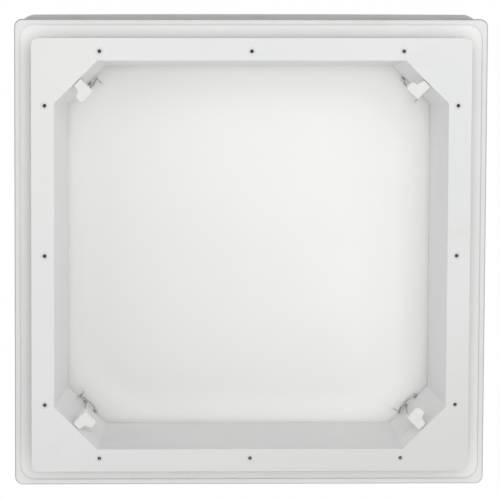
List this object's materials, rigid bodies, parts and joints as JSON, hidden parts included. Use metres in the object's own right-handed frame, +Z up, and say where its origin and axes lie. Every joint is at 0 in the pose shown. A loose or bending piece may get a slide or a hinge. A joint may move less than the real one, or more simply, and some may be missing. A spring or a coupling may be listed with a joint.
{
  "type": "rv skylight",
  "caption": "Push-up roof skylight: square screw-on frame with an eight-sided neck, and a double-skinned opal dome that lifts on spring-wire stays with handles",
  "frame": {"origin": "centre of the mounting plate's underside, which lies on the roof", "axes": "+Z up out of the roof, with the dome on top; X and Y along the plate's sides; front is -Y"},
  "size_m": [0.48, 0.48, 0.1039],
  "materials": {
    "frame_plastic": "satin white",
    "seal_rubber": "pale, matt",
    "dome_outer_acrylic": "opal, glossy outside",
    "dome_inner_acrylic": "opal, satin",
    "bond_adhesive": "pale, matt",
    "washer_steel": "bright spring steel",
    "spring_wire": "drawn spring steel",
    "cap_plastic": "warm white",
    "handle_nylon": "warm white, fine grain",
    "bracket_nylon": "white, matt"
  },
  "bodies": {
    "frame": {"frame": "frame_plastic", "neck_seal": "seal_rubber"},
    "dome": {"dome_outer": "dome_outer_acrylic", "dome_inner": "dome_inner_acrylic", "dome_bond_bead": "bond_adhesive", "bracket_washers": "washer_steel", "stay_bracket_front_left": "bracket_nylon", "stay_bracket_front_right": "bracket_nylon", "stay_bracket_rear_right": "bracket_nylon", "stay_bracket_rear_left": "bracket_nylon"},
    "stay_front_left": {"stay_wire_front_left": "spring_wire", "stay_tip_cap_front_left": "cap_plastic", "stay_handle_front_left": "handle_nylon"},
    "stay_front_right": {"stay_wire_front_right": "spring_wire", "stay_tip_cap_front_right": "cap_plastic", "stay_handle_front_right": "handle_nylon"},
    "stay_rear_right": {"stay_wire_rear_right": "spring_wire", "stay_tip_cap_rear_right": "cap_plastic", "stay_handle_rear_right": "handle_nylon"},
    "stay_rear_left": {"stay_wire_rear_left": "spring_wire", "stay_tip_cap_rear_left": "cap_plastic", "stay_handle_rear_left": "handle_nylon"}
  },
  "joints": [
    {"name": "dome_lift", "type": "slide", "parent": "frame", "child": "dome", "axis": [0, 0, 1], "range_m": [0, 0.045]},
    {"name": "stay_swing_front_left", "type": "hinge", "parent": "dome", "child": "stay_front_left", "pos_m": [-0.16518, -0.16518, 0.06815], "axis": [0.7071, -0.7071, 0], "range_deg": [0, 12.5]},
    {"name": "stay_swing_front_right", "type": "hinge", "parent": "dome", "child": "stay_front_right", "pos_m": [0.16518, -0.16518, 0.06815], "axis": [0.7071, 0.7071, 0], "range_deg": [0, 12.5]},
    {"name": "stay_swing_rear_right", "type": "hinge", "parent": "dome", "child": "stay_rear_right", "pos_m": [0.16518, 0.16518, 0.06815], "axis": [-0.7071, 0.7071, 0], "range_deg": [0, 12.5]},
    {"name": "stay_swing_rear_left", "type": "hinge", "parent": "dome", "child": "stay_rear_left", "pos_m": [-0.16518, 0.16518, 0.06815], "axis": [-0.7071, -0.7071, 0], "range_deg": [0, 12.5]}
  ],
  "couplings": [
    {"joint": "stay_swing_front_left", "follows": "dome_lift", "rad_per_m": 4.848},
    {"joint": "stay_swing_front_right", "follows": "dome_lift", "rad_per_m": 4.848},
    {"joint": "stay_swing_rear_right", "follows": "dome_lift", "rad_per_m": 4.848},
    {"joint": "stay_swing_rear_left", "follows": "dome_lift", "rad_per_m": 4.848}
  ]
}
